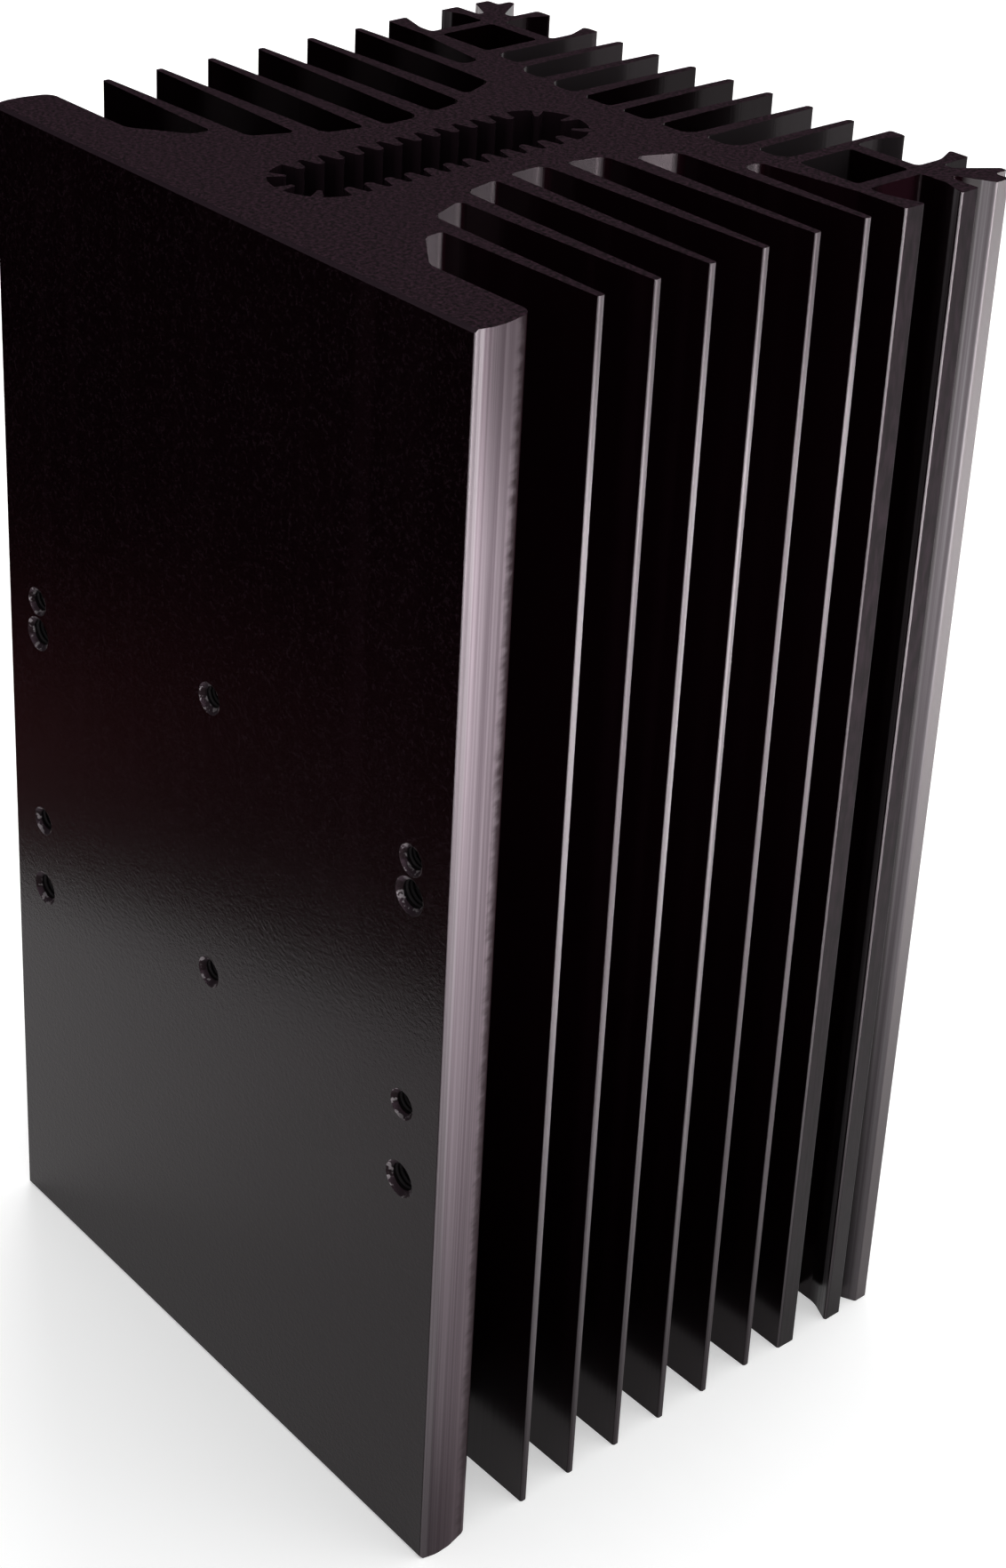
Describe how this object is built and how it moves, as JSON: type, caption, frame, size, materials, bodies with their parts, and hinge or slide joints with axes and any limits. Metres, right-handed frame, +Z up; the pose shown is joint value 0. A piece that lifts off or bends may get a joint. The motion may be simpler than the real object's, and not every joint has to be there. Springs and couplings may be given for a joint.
{
  "type": "heat sink",
  "caption": "Black anodised extruded heat sink: thick drilled mounting plate, tapered side fins on a waisted web, rear fins and hollow lipped corner blocks round a toothed central cavity.",
  "frame": {"origin": "middle of the bounding box of the section, on the cut end that the profile stands on", "axes": "+Z up along the profile's length, X across the mounting plate, -Y out of the plate's drilled face"},
  "size_m": [0.1112, 0.1006, 0.2],
  "materials": {
    "black_anodised": "black anodised, satin, with a faint warm purple tint; cut ends fine-grained grey, countersinks bare metal"
  },
  "bodies": {
    "root": {"heat_sink": "black_anodised"}
  },
  "joints": []
}
